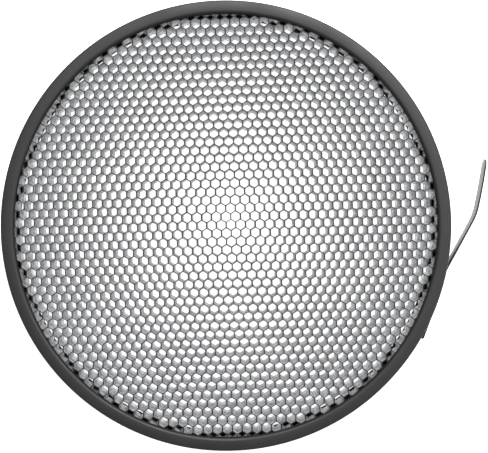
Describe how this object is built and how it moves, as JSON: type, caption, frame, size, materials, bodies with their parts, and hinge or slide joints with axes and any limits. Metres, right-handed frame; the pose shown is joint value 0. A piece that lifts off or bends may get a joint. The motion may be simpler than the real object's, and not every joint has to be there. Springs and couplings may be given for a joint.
{
  "type": "honeycomb grid",
  "caption": "Round honeycomb grid for a studio light reflector: a black channel rim, a core of folded foil ribbons, and a riveted spring tab on the side.",
  "frame": {"origin": "centre of the rim's rear face", "axes": "+Z along the grid's axis from the rear face to the front face; the spring tab is on the +X side and its free end points to +Y"},
  "size_m": [0.2246, 0.207, 0.018],
  "materials": {
    "rim_paint": "matt black paint",
    "core_foil": "bare mill-finish foil",
    "tab_steel": "bare rolled spring strip",
    "rivet_steel": "bare"
  },
  "bodies": {
    "frame": {"foil_ribbon_01": "core_foil", "foil_ribbon_02": "core_foil", "foil_ribbon_03": "core_foil", "foil_ribbon_04": "core_foil", "foil_ribbon_05": "core_foil", "foil_ribbon_06": "core_foil", "foil_ribbon_07": "core_foil", "foil_ribbon_08": "core_foil", "foil_ribbon_09": "core_foil", "foil_ribbon_10": "core_foil", "foil_ribbon_11": "core_foil", "foil_ribbon_12": "core_foil", "foil_ribbon_13": "core_foil", "foil_ribbon_14": "core_foil", "foil_ribbon_15": "core_foil", "foil_ribbon_16": "core_foil", "foil_ribbon_17": "core_foil", "foil_ribbon_18": "core_foil", "foil_ribbon_19": "core_foil", "foil_ribbon_20": "core_foil", "foil_ribbon_21": "core_foil", "foil_ribbon_22": "core_foil", "foil_ribbon_23": "core_foil", "foil_ribbon_24": "core_foil", "foil_ribbon_25": "core_foil", "foil_ribbon_26": "core_foil", "foil_ribbon_27": "core_foil", "foil_ribbon_28": "core_foil", "foil_ribbon_29": "core_foil", "foil_ribbon_30": "core_foil", "foil_ribbon_31": "core_foil", "foil_ribbon_32": "core_foil", "rim_channel": "rim_paint", "tab_rivets": "rivet_steel", "tab_root": "tab_steel"},
    "tab": {"tab_arm": "tab_steel"}
  },
  "joints": [
    {"name": "tab_flex", "type": "hinge", "parent": "frame", "child": "tab", "pos_m": [0.10251, -0.0198, 0.009], "axis": [0, 0, 1], "range_deg": [0, 18], "stiffness_Nm_per_rad": 1.8}
  ]
}
